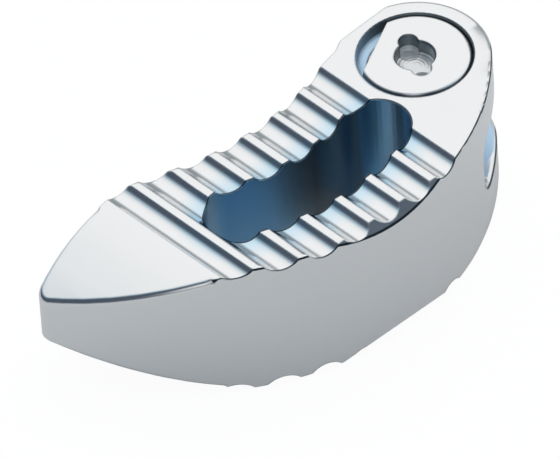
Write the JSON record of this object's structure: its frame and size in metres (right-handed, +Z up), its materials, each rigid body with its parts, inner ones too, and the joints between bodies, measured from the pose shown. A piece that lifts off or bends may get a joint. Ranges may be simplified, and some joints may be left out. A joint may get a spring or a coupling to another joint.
{
  "type": "spinal interbody cage",
  "caption": "Curved lumbar interbody cage with a bent graft window, grooved end plates, a tapered nose and a pivoting threaded barrel in its head.",
  "frame": {"origin": "middle of the bounding box's lower face", "axes": "+X along the length towards the head with the barrel, -X to the nose, +Y to the concave side, +Z up through the end plates"},
  "size_m": [0.0286, 0.0126, 0.009],
  "materials": {
    "cage_metal": "machined and polished titanium alloy",
    "barrel_metal": "turned and polished titanium alloy"
  },
  "bodies": {
    "cage": {"cage_body": "cage_metal"},
    "barrel": {"pivot_barrel": "barrel_metal", "pivot_retainer": "barrel_metal"}
  },
  "joints": [
    {"name": "barrel_pivot", "type": "hinge", "parent": "cage", "child": "barrel", "pos_m": [0.01018, 0.00144, 0.0045], "axis": [0, 0, 1], "continuous": true}
  ]
}
